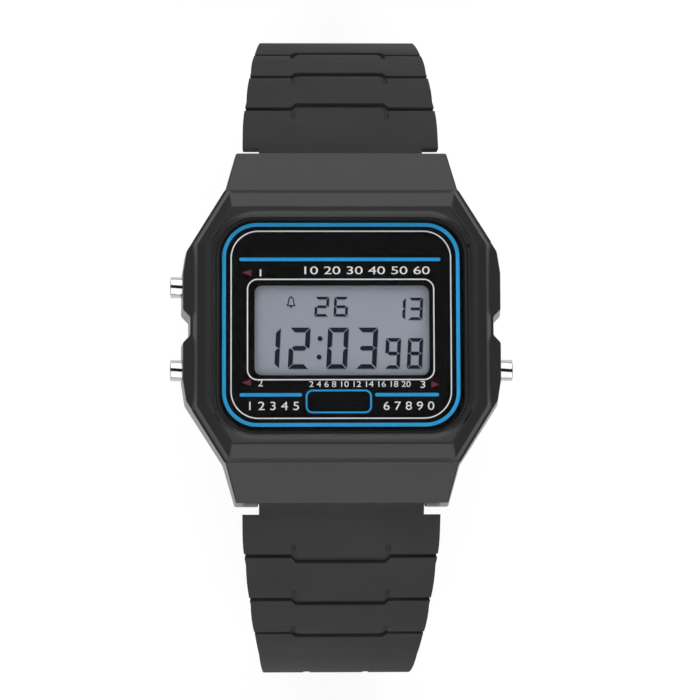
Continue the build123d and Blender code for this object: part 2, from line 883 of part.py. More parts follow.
# The closed end leans so that the keeper and the buckle's bar stand on one level
layer_shift = strap_thickness + layer_gap
keeper_low = strap_half + layer_shift + keeper_play + keeper_wall
buckle_low = strap_half + buckle_play + buckle_thickness
lean = degrees(asin((keeper_low - buckle_low) / (buckle_reach + keeper_place - keeper_length / 2)))
keeper_edge = keeper_place - keeper_length / 2
pivot_mid = keeper_low * cos(radians(lean)) - keeper_edge * sin(radians(lean)) - stand_depth


def closed_end(along, out):
    """Point (y, z) by its distance from the buckle bar towards 6 o'clock, and out of the loop."""
    y = pivot_place - along * cos(radians(lean)) + out * sin(radians(lean))
    z = pivot_mid - along * sin(radians(lean)) - out * cos(radians(lean))
    return y, z


upper_crown = (
    upper_slope,
    [(lug_straight, 0), arc(upper_crown_radius, upper_side_slope - upper_slope)],
)
upper_line = lean - half_turn
upper_radius = radius_to_line(upper_crown, (pivot_place, pivot_mid), upper_line)
upper_round = longer(upper_crown, arc(upper_radius, -upper_line - upper_side_slope))
upper_u, upper_z, _ = walk(upper_round, run(upper_round))
upper_straight = hypot(upper_u - pivot_place, upper_z - pivot_mid)
upper_route = longer(upper_round, (upper_straight, 0))
upper_total = run(upper_route)

lower_side = (
    lower_slope,
    [
        (lug_straight, 0),
        arc(lower_crown_radius, lower_side_slope - lower_slope),
        arc(lower_side_radius, quarter_turn - lower_side_slope),
    ],
)
lower_line = -half_turn - lean
lower_radius = radius_to_line(lower_side, (-pivot_place, pivot_mid), lower_line)
lower_round = longer(lower_side, arc(lower_radius, quarter_turn + lean))
lower_u, lower_z, _ = walk(lower_round, run(lower_round))
lower_reach = hypot(lower_u + pivot_place, lower_z - pivot_mid)
crossing_radius = layer_shift / 2 / (1 - cos(radians(crossing_angle)))
crossing_span = 2 * crossing_radius * sin(radians(crossing_angle))
over_upper = upper_straight + crossing_start - crossing_span
lower_to_tail = longer(
    lower_round,
    (lower_reach - crossing_start, 0),
    arc(crossing_radius, -crossing_angle),
    arc(crossing_radius, crossing_angle),
    (over_upper, 0),
)
lower_route = longer(lower_to_tail, arc(upper_radius + layer_shift, tail_turn))
crossing_end = run(lower_to_tail) - over_upper
pivot_to_crossing = crossing_span - crossing_start
lower_total = run(lower_route)


def spot(strap, distance, out=0):
    """Point (y, z) of a strap half at a distance along it and out from its centre line."""
    side, route, _ = strap
    u, z, heading = walk(route, distance)
    return side * (u - out * sin(radians(heading))), z + out * cos(radians(heading))


def surface(strap, distance, out=0):
    """Plane that lies on a strap half, its x along X and its normal out of the loop."""
    side, route, _ = strap
    heading = radians(walk(route, distance)[2])
    y, z = spot(strap, distance, out)
    return Plane((0, y, z), x_dir=(1, 0, 0), z_dir=(0, -side * sin(heading), cos(heading)))


def edge_run(strap, marks, out):
    """Lines and arcs through the marks, at one distance out from the centre line."""
    for start, end in zip(marks, marks[1:]):
        middle = spot(strap, (start + end) / 2, out)
        first, last = spot(strap, start, out), spot(strap, end, out)
        bend = walk(strap[1], start)[2] - walk(strap[1], end)[2]
        if abs(bend) > running:
            ThreePointArc(first, middle, last)
        else:
            Line(first, last)


def band(strap, start, end, low, high):
    """Side view of a strip of the strap between two distances and two levels."""
    marks = [start]
    reached = 0
    for length, _ in strap[1][1]:
        reached += length
        if start < reached < end:
            marks.append(reached)
    marks.append(end)
    with BuildLine() as outline:
        edge_run(strap, marks, high)
        Line(spot(strap, end, high), spot(strap, end, low))
        edge_run(strap, marks[::-1], low)
        Line(spot(strap, start, low), spot(strap, start, high))
    make_face(outline.edges())


def half_width(distance):
    """Half of the strap's width at a distance, on its taper with a knee."""
    if distance < taper_knee:
        share = (distance - taper_start) / (taper_knee - taper_start)
        return (shoulder_width + (knee_width - shoulder_width) * share) / 2
    share = (distance - taper_knee) / (taper_end - taper_knee)
    return (knee_width + (strap_end_width - knee_width) * share) / 2


# each half: its side of the watch, its route and where its grooves are
upper_grooves = [upper_groove_first + upper_groove_spacing * k for k in range(groove_count)]
lower_grooves = [lower_groove_first + lower_groove_spacing * k for k in range(groove_count)]
upper = (1, upper_route, upper_grooves)
lower = (-1, lower_route, lower_grooves)


def cut_taper(strap):
    """Trim a strap half to its tapered front view, its edge bulging between the grooves."""
    marks = [taper_start, *strap[2], taper_knee]
    marks += [taper_end * share for share in taper_steps_share]
    places = [(half_width(mark), spot(strap, mark)[1]) for mark in marks]
    with BuildSketch(Plane.XZ) as front:
        with BuildLine():
            Line((0, pin_height + overrun), (places[0][0], pin_height + overrun))
            Line((places[0][0], pin_height + overrun), places[0])
            for index, (start, end) in enumerate(zip(places, places[1:])):
                if index < groove_count:
                    middle = ((start[0] + end[0]) / 2 + edge_bulge, (start[1] + end[1]) / 2)
                    ThreePointArc(start, middle, end)
                else:
                    Line(start, end)
            Line(places[-1], (places[-1][0], -stand_depth - overrun))
            Line((places[-1][0], -stand_depth - overrun), (0, -stand_depth - overrun))
            Line((0, -stand_depth - overrun), (0, pin_height + overrun))
        make_face()
        mirror(about=Plane.YZ)
    extrude(front.sketch, amount=stand_depth, both=True, mode=Mode.INTERSECT)


def cut_lug_end(strap):
    """Narrow the end that lies between the ears, and bore its eye."""
    side = strap[0]
    step = (shoulder_width - tongue_end_width) / 2 + overrun
    with BuildSketch(Plane.XY.offset(pin_height)) as sides:
        for hand in (-1, 1):
            with Locations((hand * (tongue_end_width + step) / 2, side * shoulder_reach / 2)):
                Rectangle(step, shoulder_reach)
    extrude(sides.sketch, amount=overrun, both=True, mode=Mode.SUBTRACT)
    with BuildSketch(Plane.YZ) as eye:
        with Locations((side * pin_reach, pin_height)):
            Circle(pin_radius + running)
    extrude(eye.sketch, amount=ear_gap, both=True, mode=Mode.SUBTRACT)


def cut_grooves(strap):
    """Cross grooves, each stepping out round a raised tab with cut corners in the middle."""
    edge = groove_width / 2
    near, far = tab_lead - tab_groove_width / 2, tab_lead + tab_groove_width / 2
    tab = tab_width / 2
    slot = tab + tab_slot_width
    right = [
        (slot - tab_corner, far),
        (slot, edge),
        (shoulder_width, edge),
        (shoulder_width, -edge),
        (slot, -edge),
        (slot, -tab_tail),
        (tab, -tab_tail),
        (tab, near - tab_corner),
        (tab - tab_corner, near),
    ]
    plan = [(x, strap[0] * along) for x, along in right]
    plan += [(-x, along) for x, along in reversed(plan)]
    for mark in strap[2]:
        with BuildSketch(surface(strap, mark, strap_half)) as groove:
            Polygon(*plan, align=None)
        extrude(groove.sketch, amount=groove_depth, both=True, mode=Mode.SUBTRACT)


# Upper strap half, which carries the buckle
buckle_y, buckle_z = closed_end(0, -pivot_inset)
notch_width_tongue = tongue_width + 2 * tongue_notch_gap
with BuildPart() as strap_upper:
    with BuildSketch(Plane.YZ):
        band(upper, 0, upper_total, -strap_half, strap_half)
        with Locations((pin_reach, pin_height)):
            Circle(eye_radius)
        with Locations((buckle_y, buckle_z)):
            Circle(buckle_eye_radius)
    extrude(amount=shoulder_width, both=True)
    cut_taper(upper)
    cut_lug_end(upper)
    cut_grooves(upper)
    with BuildSketch(Plane.YZ):
        with Locations((buckle_y, buckle_z)):
            Circle(buckle_bar_radius + running)
    extrude(amount=shoulder_width, both=True, mode=Mode.SUBTRACT)
    with BuildSketch(Plane.YZ):
        with Locations((buckle_y, buckle_z)):
            Circle(buckle_eye_radius + 2 * tongue_notch_gap)
    extrude(amount=notch_width_tongue / 2, both=True, mode=Mode.SUBTRACT)
finish(strap_upper, "strap_upper")

# Lower strap half, with its two tracks, its holes and its rounded tip
tail_tip_radius = strap_end_width * tail_tip_share
with BuildPart() as strap_lower:
    with BuildSketch(Plane.YZ):
        band(lower, 0, lower_total, -strap_half, strap_half)
        with Locations((-pin_reach, pin_height)):
            Circle(eye_radius)
    extrude(amount=shoulder_width, both=True)
    cut_taper(lower)
    cut_lug_end(lower)
    cut_grooves(lower)
    for hand in (-1, 1):
        with BuildSketch(Plane.YZ.offset(hand * track_spacing / 2)):
            band(lower, track_start, lower_total, strap_half - track_depth, strap_half + running)
        extrude(amount=track_width / 2, both=True, mode=Mode.SUBTRACT)
    for index in range(-hole_count_case, hole_count_tail + 1):
        mark = crossing_end - hole_place - pivot_to_crossing + index * hole_spacing
        with BuildSketch(surface(lower, mark)) as hole:
            Rectangle(hole_width, hole_length)
            chamfer(hole.vertices(), hole_corner)
        extrude(amount=strap_thickness, both=True, mode=Mode.SUBTRACT)
    with BuildSketch(surface(lower, lower_total)):
        with Locations((0, (tail_tip_radius - overrun) / 2)):
            Rectangle(strap_end_width + overrun, tail_tip_radius + overrun)
        with Locations((0, tail_tip_radius)):
            Circle(tail_tip_radius, mode=Mode.SUBTRACT)
    extrude(amount=strap_thickness, both=True, mode=Mode.SUBTRACT)
finish(strap_lower, "strap_lower")


# Buckle: bar, frame, tongue
buckle_outer_width = buckle_inner_width + 2 * buckle_side_width
with BuildPart() as buckle_bar:
    with BuildSketch(Plane.YZ):
        with Locations((buckle_y, buckle_z)):
            Circle(buckle_bar_radius)
    extrude(amount=(buckle_outer_width - 2 * seat_gap) / 2, both=True)
finish(buckle_bar, "buckle_bar")

# the tongue's centre line, by its distance along the closed end and out of the loop
tongue_tip = (buckle_reach + buckle_bar_width / 2, buckle_low - tongue_thickness / 2)
tongue_crest = (tongue_crest_along, tongue_crest_out)
tongue_route = [
    (tongue_root_along, tongue_root_out),
    (tongue_rise_along, tongue_rise_out),
    (tongue_top_along, tongue_top_out),
    tongue_crest,
    tongue_tip,
]
with BuildPart() as buckle_tongue:
    with BuildSketch(Plane.YZ):
        with BuildLine():
            Polyline(*[closed_end(along, out) for along, out in tongue_route])
        trace(line_width=tongue_thickness)
        with Locations((buckle_y, buckle_z)):
            Circle(buckle_bar_radius + running + tongue_ring)
            Circle(buckle_bar_radius + running, mode=Mode.SUBTRACT)
    extrude(amount=tongue_width / 2, both=True)
finish(buckle_tongue, "buckle_tongue")

bar_y, bar_z = closed_end(buckle_reach, buckle_low - buckle_thickness / 2)
frame_reach = hypot(bar_y - buckle_y, bar_z - buckle_z)
frame_plane = Plane(
    (0, buckle_y, buckle_z),
    x_dir=(1, 0, 0),
    z_dir=(0, buckle_z - bar_z, bar_y - buckle_y),
)
frame_total = frame_reach + buckle_bar_width / 2 + buckle_heel
window_total = frame_reach - buckle_bar_width / 2 + overrun
notch_floor_drop = tongue_thickness / 2 + tongue_bar_gap
with BuildPart() as buckle_frame:
    with BuildSketch(frame_plane):
        with Locations((0, frame_total / 2 - buckle_heel)):
            RectangleRounded(buckle_outer_width, frame_total, buckle_corner)
        with Locations((0, window_total / 2 - overrun)):
            Rectangle(buckle_inner_width, window_total, mode=Mode.SUBTRACT)
    extrude(amount=buckle_thickness / 2, both=True)
    with BuildSketch(Plane.YZ):
        with Locations((buckle_y, buckle_z)):
            Circle(buckle_bar_radius + running)
    extrude(amount=buckle_outer_width, both=True, mode=Mode.SUBTRACT)
    with BuildSketch(Plane.YZ):
        tip_slope = (tongue_tip[1] - tongue_crest[1]) / (tongue_tip[0] - tongue_crest[0])
        past = tongue_tip[0] + overrun
        Polygon(
            closed_end(tongue_crest[0], tongue_crest[1] - notch_floor_drop),
            closed_end(past, tongue_tip[1] + overrun * tip_slope - notch_floor_drop),
            closed_end(past, tongue_crest[1] + overrun),
            closed_end(tongue_crest[0], tongue_crest[1] + overrun),
        )
    extrude(amount=tongue_width / 2 + tongue_bar_gap, both=True, mode=Mode.SUBTRACT)
finish(buckle_frame, "buckle_frame")

# Keeper: a loop round both strap layers
keeper_y, keeper_z = closed_end(-keeper_place, layer_shift / 2)
along_y, along_z = closed_end(-keeper_place - keeper_length, layer_shift / 2)
keeper_plane = Plane(
    (0, keeper_y, keeper_z), x_dir=(1, 0, 0), z_dir=(0, along_y - keeper_y, along_z - keeper_z)
)
keeper_inner_width = strap_end_width + 2 * keeper_side_play
keeper_inner_height = strap_thickness + layer_shift + 2 * keeper_play
with BuildPart() as keeper:
    with BuildSketch(keeper_plane):
        RectangleRounded(
            keeper_inner_width + 2 * keeper_wall,
            keeper_inner_height + 2 * keeper_wall,
            keeper_corner,
        )
        Rectangle(keeper_inner_width, keeper_inner_height, mode=Mode.SUBTRACT)
    extrude(amount=keeper_length / 2, both=True)
finish(keeper, "keeper")
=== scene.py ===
"""Dresses a digital wristwatch: resin case and strap, printed face, display, metal pushers."""

import json
from math import cos, radians, sin

import bmesh
import bpy
from mathutils import Matrix, Vector


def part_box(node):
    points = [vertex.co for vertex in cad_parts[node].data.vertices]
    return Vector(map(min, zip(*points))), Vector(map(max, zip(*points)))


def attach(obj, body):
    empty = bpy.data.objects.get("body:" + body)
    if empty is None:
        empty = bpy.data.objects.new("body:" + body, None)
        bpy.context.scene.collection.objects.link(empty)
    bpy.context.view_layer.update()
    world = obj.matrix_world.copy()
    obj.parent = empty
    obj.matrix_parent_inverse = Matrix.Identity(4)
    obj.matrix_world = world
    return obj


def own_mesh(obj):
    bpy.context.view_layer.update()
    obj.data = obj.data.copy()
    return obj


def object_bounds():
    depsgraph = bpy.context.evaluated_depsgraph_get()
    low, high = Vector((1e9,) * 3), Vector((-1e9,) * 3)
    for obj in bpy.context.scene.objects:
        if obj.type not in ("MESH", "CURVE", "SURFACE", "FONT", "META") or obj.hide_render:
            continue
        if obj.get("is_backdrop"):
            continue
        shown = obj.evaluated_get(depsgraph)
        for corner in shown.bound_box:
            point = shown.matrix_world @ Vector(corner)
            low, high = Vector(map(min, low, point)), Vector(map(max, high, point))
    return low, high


bl_info = {
    "name": "Digital Wristwatch",
    "version": (1, 0, 0),
    "blender": (4, 5, 0),
    "location": "3D View > Sidebar > Watch",
    "description": "Dresses a digital wristwatch and its photographic stage",
    "category": "Object",
}

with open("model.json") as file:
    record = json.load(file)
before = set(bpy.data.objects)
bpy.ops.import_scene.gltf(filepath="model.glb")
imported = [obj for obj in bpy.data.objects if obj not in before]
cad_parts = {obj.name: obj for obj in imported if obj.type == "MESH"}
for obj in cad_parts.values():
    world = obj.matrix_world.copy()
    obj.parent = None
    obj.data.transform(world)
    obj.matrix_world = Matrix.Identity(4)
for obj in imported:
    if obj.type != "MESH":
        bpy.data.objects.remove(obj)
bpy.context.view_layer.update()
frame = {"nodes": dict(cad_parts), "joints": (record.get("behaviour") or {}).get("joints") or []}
NODES = frame["nodes"]
MM = 0.001


# Layout of the print, in millimetres from the case's middle, with 12 o'clock upwards

RING_CENTRE = (-0.09, 0.15)
WINDOW_CENTRE = (-0.13, -0.38)
TABLET_CENTRE = (-0.36, -8.08)
# Left end, right end and height of each blue bar
BARS = ((-10.95, 10.55, 7.14), (-10.91, -4.27, -7.37), (3.51, 10.32, -7.37))
# A bar's end radius, as a share of its thickness
BAR_END_SHARE = 0.45
# Tip, base and height of each arrow, and half its base
ARROWS = ((-10.64, -9.67, 5.71), (-10.64, -9.72, -6.06), (10.36, 9.51, -6.28))
ARROW_HALF_BASE = 0.36
# Name, numerals, their height and width, and the row's centre
NUMERALS = (
    ("numeral_upper_left", "1", 0.75, 0.18, (-8.7, 5.7)),
    ("numeral_lower_left", "2", 0.75, 0.5, (-8.7, -6.09)),
    ("numeral_lower_right", "3", 0.75, 0.5, (8.6, -6.27)),
    ("upper_scale", "10 20 30 40 50 60", 0.84, 13.4, (2.7, 5.96)),
    ("lower_scale", "2 4 6 8 10 12 14 16 18 20", 0.62, 10.8, (1.9, -6.23)),
    ("left_scale", "1 2 3 4 5", 0.9, 5.3, (-7.25, -8.55)),
    ("right_scale", "6 7 8 9 0", 0.9, 5.4, (7.1, -8.55)),
)
# How far a numeral's ink reaches above and below the other ink's top
NUMERAL_INK = 0.004


# Layout of the display, in millimetres as above

DIGIT_FOOT = -4.54
# For each row: every digit's left edge, the row's foot, and a digit's width, height, bar and gap
DIGIT_ROWS = {
    "time": ((-8.97, -5.8, -1.7, 1.44), DIGIT_FOOT, 2.22, 4.43, 0.5, 0.07),
    "seconds": ((4.55, 6.92), DIGIT_FOOT, 1.62, 3.3, 0.38, 0.06),
    "date": ((5.2, 7.05), 0.7, 1.55, 2.4, 0.3, 0.05),
    "day": ((-2.95, -0.9), 1.07, 1.5, 2.13, 0.28, 0.05),
}
# Which of the seven bars each numeral lights: top, right pair, bottom, left pair, middle
SEVEN = {
    "0": "abcdef",
    "1": "bc",
    "2": "abged",
    "3": "abgcd",
    "4": "fgbc",
    "5": "afgcd",
    "6": "afgedc",
    "7": "abc",
    "8": "abcdefg",
    "9": "abcdfg",
}
# The colon: place across, height of each dot, a dot's radius and its sides
COLON_ACROSS = -2.51
COLON_HEIGHTS = (-1.29, -3.27)
COLON_RADIUS = 0.27
COLON_SIDES = 16
# The alarm bell: its middle, its dome's radius and height, and its line
BELL_CENTRE = (-5.44, 2.63)
BELL_DOME = 0.24
BELL_DOME_HEIGHT = 0.3
BELL_LINE = 0.11
# Right half of the flared rim, from its end to the dome's foot, seen from the bell's middle
BELL_FLARE = ((0.44, -0.36), (0.3, -0.16))
# Ends and thickness of the bell's clapper and of its knob
BELL_CLAPPER = ((-0.14, -0.5), (0.14, -0.5), 0.14)
BELL_KNOB = ((0.0, 0.5), (0.0, 0.68), 0.12)
# The segments' shadow on the ground lies lower right of them
SHADOW_SHIFT = (0.07, -0.09)
# Heights of shadow and segments over the polariser, and how deep both reach into it
SHADOW_RISE = 0.006
SEGMENT_RISE = 0.012
SEGMENT_ROOT = 0.01


# The stage, in metres

# Half the card's side, its cells along a side, and how far it lies below the watch
CARD_HALF = 1.5
CARD_CELLS = 8
CARD_DROP = 0.0002
# The card's glow to the camera round the watch, and where it starts and ends growing to white
CARD_GLOW = 0.84
GLOW_START = 0.2
GLOW_END = 0.5
# What glossy faces see of the card beyond the lit patch, as a share of what they see in it
FAR_MIRROR = 0.1
# Size of each soft box, its distance from the middle towards 12 or 6 o'clock, and its height
BOX_SIZE = (0.6, 0.85)
BOX_OUT = 0.473
BOX_UP = 0.369
# Name, side and share of the lamp power of each box: the upper one is a little stronger
BOXES = (("upper_box", 1, 1.05), ("lower_box", -1, 1.0))
# Brightness of the dark port straight above, and the rise of a ray where it begins and is full
PORT = 0.02
PORT_EDGE = 0.8
PORT_CORE = 0.96
# The photograph's side, and how far its middle lies from the watch's, in pixels
PHOTO_SIDE = 700
PHOTO_SHIFT = (7.8, -25.0)


# Sizes and colours that a user would change


def to_linear(hex_colour):
    """Turn an sRGB hex colour into linear red, green, blue and alpha."""
    parts = [int(hex_colour[i : i + 2], 16) / 255 for i in (1, 3, 5)]
    linear = [p / 12.92 if p <= 0.04045 else ((p + 0.055) / 1.055) ** 2.4 for p in parts]
    return (*linear, 1.0)


def length(label, description, millimetres):
    """A length property, kept in metres."""
    return bpy.props.FloatProperty(
        name=label, description=description, default=millimetres * MM, unit="LENGTH", precision=5
    )


def angle(label, description, degrees):
    """An angle property, kept in radians."""
    return bpy.props.FloatProperty(
        name=label, description=description, default=radians(degrees), subtype="ANGLE"
    )


def colour(label, description, hex_colour):
    """A colour property, given in sRGB hex and kept linear."""
    return bpy.props.FloatVectorProperty(
        name=label,
        description=description,
        default=to_linear(hex_colour),
        size=4,
        min=0.0,
        max=1.0,
        subtype="COLOR",
    )


class WATCH_PG_body(bpy.types.PropertyGroup):
    """Case, strap and metal."""

    resin: colour("Case resin", "Colour of the moulded case", "#2d2d2e")
    strap_resin: colour("Strap resin", "Colour of the moulded strap", "#434344")
    grain: length("Moulded grain", "Size of the grain in the moulded surface", 0.16)
    case_edge: length("Case edge", "Radius on the case's edges", 0.18)
    strap_edge: length("Strap edge", "Radius on the strap's edges", 0.16)
    pusher_edge: length("Pusher edge", "Radius on the pushers' edges", 0.13)
    metal_edge: length("Metal edge", "Radius on the buckle's edges", 0.18)
    pin_edge: length("Pin edge", "Radius on the edges of the buckle's tongue and bar", 0.09)
    back_edge: length("Back edge", "Radius on the case back's edges", 0.05)
    screw_edge: length("Screw edge", "Radius on the screws' edges", 0.03)


class WATCH_PG_face(bpy.types.PropertyGroup):
    """Printed panel under the crystal."""

    blue: colour("Blue ink", "Colour of the bars and the tablet's line", "#289fda")
    # The same blue as the bars, painted lighter as painted light against the shade of the bezel's
    # wall
    ring_blue_painted_light: colour("Blue ink, lightened as painted light", "Colour of the blue ring", "#30b8f6")
    white: colour("White ink", "Colour of the thin lines and numerals", "#f4f1ee")
    red: colour("Red ink", "Colour of the pusher arrows", "#70283b")
    panel: colour("Panel", "Colour of the printed panel", "#0c0c0d")
    ink: length("Ink height", "How far the ink stands on the panel", 0.012)
    ring_width: length("Ring width", "Blue ring, across its centre line", 25.0)
    ring_length: length("Ring length", "Blue ring, along its centre line", 21.44)
    ring_corner: length("Ring corner", "Corner radius of the blue ring", 3.5)
    ring_line: length("Ring line", "Thickness of the blue ring", 0.4)
    inner_width: length("Inner line width", "White line, across", 23.48)
    inner_length: length("Inner line length", "White line, along", 20.05)
    inner_corner: length("Inner line corner", "Corner radius of the white line", 2.9)
    window_width: length("Window line width", "White line round the display, across", 19.9)
    window_length: length("Window line length", "White line round the display, along", 10.75)
    window_corner: length("Window line corner", "Its corner radius", 1.07)
    thin_line: length("Thin line", "Thickness of the white lines", 0.13)
    tablet_width: length("Tablet width", "Line round the bare tablet, across", 6.86)
    tablet_length: length("Tablet length", "Line round the bare tablet, along", 2.34)
    tablet_corner: length("Tablet corner", "Its corner radius", 0.64)
    tablet_line: length("Tablet line", "Thickness of the tablet's line", 0.19)
    bar_line: length("Bar", "Thickness of the blue bars", 0.37)


class WATCH_PG_display(bpy.types.PropertyGroup):
    """Liquid crystal display."""

    time: bpy.props.StringProperty(name="Time", description="Large digits", default="12:03")
    seconds: bpy.props.StringProperty(name="Seconds", description="Small digits", default="98")
    date: bpy.props.StringProperty(name="Date", description="Digits at the top right", default="13")
    day: bpy.props.StringProperty(name="Day", description="Digits at the top", default="26")
    ground: colour("Ground", "Colour of the reflective ground", "#a0a4ae")
    digit: colour("Digit", "Colour of a dark segment", "#1b202c")
    shadow: colour("Segment shadow", "Colour of a segment's shadow on the ground", "#858993")
    slant: angle("Slant", "Lean of the digits", 3.0)


class WATCH_PG_stage(bpy.types.PropertyGroup):
    """Camera, lamps and floor."""

    distance: length("Camera distance", "From the crystal to the camera", 290.0)
    tilt: angle("Tilt", "Camera's lean towards 6 o'clock", 5.5)
    side_tilt: angle("Side tilt", "Camera's lean towards 9 o'clock", 1.3)
    roll: angle("Roll", "Camera's turn about its own axis", -0.05)
    focal: bpy.props.FloatProperty(
        name="Lens", description="Focal length in millimetres", default=140.2, unit="CAMERA"
    )
    floor: colour("Floor", "Colour of the floor", "#8c8c8c")
    patch: length("Lit patch", "Reach of the part of the floor that shines in glossy faces", 300.0)
    lamp_power: bpy.props.FloatProperty(
        name="Lamp power", description="Power of each soft box", default=2.9, unit="POWER"
    )
    walls: bpy.props.FloatProperty(
        name="Walls", description="Brightness of the room, where 1 is white", default=0.15
    )
    through: bpy.props.FloatProperty(
        name="Walls through crystal",
        description="Brightness of the room through the crystal, which holds back the boxes' light",
        default=1.6,
    )


# Nodes and materials

# A noise pattern's values lie mostly between these
NOISE_LOW = 0.3
NOISE_HIGH = 0.7
# Height of the finest relief on a moulded or brushed surface
RELIEF = 0.01 * MM


def node(tree, kind, inputs=None, **fields):
    """Add a shader node, set its fields, and feed its inputs with values or with other outputs."""
    made = tree.nodes.new(kind)
    for field, value in fields.items():
        setattr(made, field, value)
    for socket, source in (inputs or {}).items():
        if isinstance(source, bpy.types.NodeSocket):
            tree.links.new(source, made.inputs[socket])
        else:
            made.inputs[socket].default_value = source
    return made


def new_material(name, **surface):
    """A Principled material with the given sockets; returns it, its tree and its shader."""
    material = bpy.data.materials.new(name)
    material.use_nodes = True
    tree = material.node_tree
    tree.nodes.clear()
    sockets = {socket.replace("_", " "): value for socket, value in surface.items()}
    shader = node(tree, "ShaderNodeBsdfPrincipled", sockets)
    node(tree, "ShaderNodeOutputMaterial", {"Surface": shader.outputs["BSDF"]})
    return material, tree, shader


def vary_tone(tree, shader, where, base, size, change, detail=2.0):
    """Colour the shader with a base that turns lighter and darker by a share, over a size."""
    clouds = node(
        tree, "ShaderNodeTexNoise", {"Vector": where, "Scale": 1 / size, "Detail": detail}
    )
    tone = node(
        tree,
        "ShaderNodeMapRange",
        {
            "Value": clouds.outputs["Fac"],
            "From Min": NOISE_LOW,
            "From Max": NOISE_HIGH,
            "To Min": 1 - change,
            "To Max": 1 + change,
        },
    )
    tinted = node(
        tree,
        "ShaderNodeMix",
        {0: 1.0, 6: base, 7: tone.outputs["Result"]},
        data_type="RGBA",
        blend_type="MULTIPLY",
    )
    tree.links.new(tinted.outputs[2], shader.inputs["Base Color"])


def texture_surface(tree, shader, pattern, smooth, rough, strength):
    """Let one pattern roughen the surface and stand up from it, as tool marks do."""
    marks = node(
        tree,
        "ShaderNodeMapRange",
        {
            "Value": pattern,
            "From Min": NOISE_LOW,
            "From Max": NOISE_HIGH,
            "To Min": smooth,
            "To Max": rough,
        },
    )
    bump = node(
        tree, "ShaderNodeBump", {"Height": pattern, "Strength": strength, "Distance": RELIEF}
    )
    tree.links.new(marks.outputs["Result"], shader.inputs["Roughness"])
    tree.links.new(bump.outputs["Normal"], shader.inputs["Normal"])


def moulded_resin(name, base, roughness, grain, specular):
    """Resin moulded in a spark-eroded tool: an even grain, matt, with a soft broad highlight."""
    material, tree, shader = new_material(name, IOR=1.5, Specular_IOR_Level=specular)
    where = node(tree, "ShaderNodeTexCoord").outputs["Object"]
    # Slow change of tone, 6 mm across, where the moulding cooled unevenly
    vary_tone(tree, shader, where, base, 6 * MM, 0.04, detail=1.0)
    # Real grain of about 0.03 mm is too fine to show, so it is drawn at the size in the panel
    fine = node(tree, "ShaderNodeTexNoise", {"Vector": where, "Scale": 1 / grain, "Detail": 3.0})
    texture_surface(tree, shader, fine.outputs["Fac"], roughness - 0.05, roughness + 0.05, 0.12)
    return material


def printed_ink(name, base):
    """Screen printed ink: flat colour with a faint unevenness, 0.3 mm across, from the mesh."""
    material, tree, shader = new_material(name, IOR=1.5, Roughness=0.5, Specular_IOR_Level=0.2)
    where = node(tree, "ShaderNodeTexCoord").outputs["Object"]
    vary_tone(tree, shader, where, base, 0.3 * MM, 0.05)
    return material


def brushed_metal(name, base, roughness, across):
    """Metal brushed one way: long fine lines that spread the highlight across them."""
    material, tree, shader = new_material(name, Metallic=1.0, Base_Color=base)
    where = node(tree, "ShaderNodeTexCoord").outputs["Object"]
    # A brush mark is about 8 mm long and 0.02 mm wide, drawn as wide as it needs to be to show
    scale = (1 / (8 * MM), 1 / across, 1 / across)
    stretch = node(tree, "ShaderNodeMapping", {"Vector": where, "Scale": scale})
    lines = node(
        tree,
        "ShaderNodeTexNoise",
        {"Vector": stretch.outputs["Vector"], "Scale": 1.0, "Detail": 2.0},
    )
    texture_surface(tree, shader, lines.outputs["Fac"], roughness - 0.06, roughness + 0.08, 0.1)
    return material


def mottled(name, base, roughness, size, **surface):
    """An even surface whose tone changes slightly over the given size in metres."""
    material, tree, shader = new_material(name, Roughness=roughness, **surface)
    where = node(tree, "ShaderNodeTexCoord").outputs["Object"]
    vary_tone(tree, shader, where, base, size, 0.06)
    return material


def polished_acrylic():
    """Cast acrylic with polished faces: clear, with a sharp reflection at low angles."""
    material, tree, shader = new_material("polished acrylic", IOR=1.49, Transmission_Weight=1.0)
    # Its sawn edge is blackened and matt, so no line of the face shows a second time in it:
    # what lies within 18 degrees of flat is clear, and what stands steeper than 37 is black
    normal = node(tree, "ShaderNodeTexCoord").outputs["Normal"]
    facing = node(tree, "ShaderNodeSeparateXYZ", {0: normal})
    upright = node(tree, "ShaderNodeMath", {0: facing.outputs["Z"]}, operation="ABSOLUTE")
    face = node(
        tree, "ShaderNodeMapRange", {"Value": upright.outputs[0], "From Min": 0.8, "From Max": 0.95}
    )
    tint = node(
        tree,
        "ShaderNodeMix",
        {0: face.outputs["Result"], 6: to_linear("#050505"), 7: to_linear("#f9fafb")},
        data_type="RGBA",
    )
    polish = node(
        tree,
        "ShaderNodeMapRange",
        {"Value": face.outputs["Result"], "To Min": 1.0, "To Max": 0.02},
    )
    tree.links.new(tint.outputs[2], shader.inputs["Base Color"])
    tree.links.new(polish.outputs["Result"], shader.inputs["Roughness"])
    return material


def paint(target, material):
    """Give an object one material in place of what it has."""
    target.data.materials.clear()
    target.data.materials.append(material)


# Rounded edges

# Points nearer than this are one point
WELD_REACH = 0.002 * MM
# Faces that meet at less than this are one face
FLAT_ANGLE = radians(0.5)


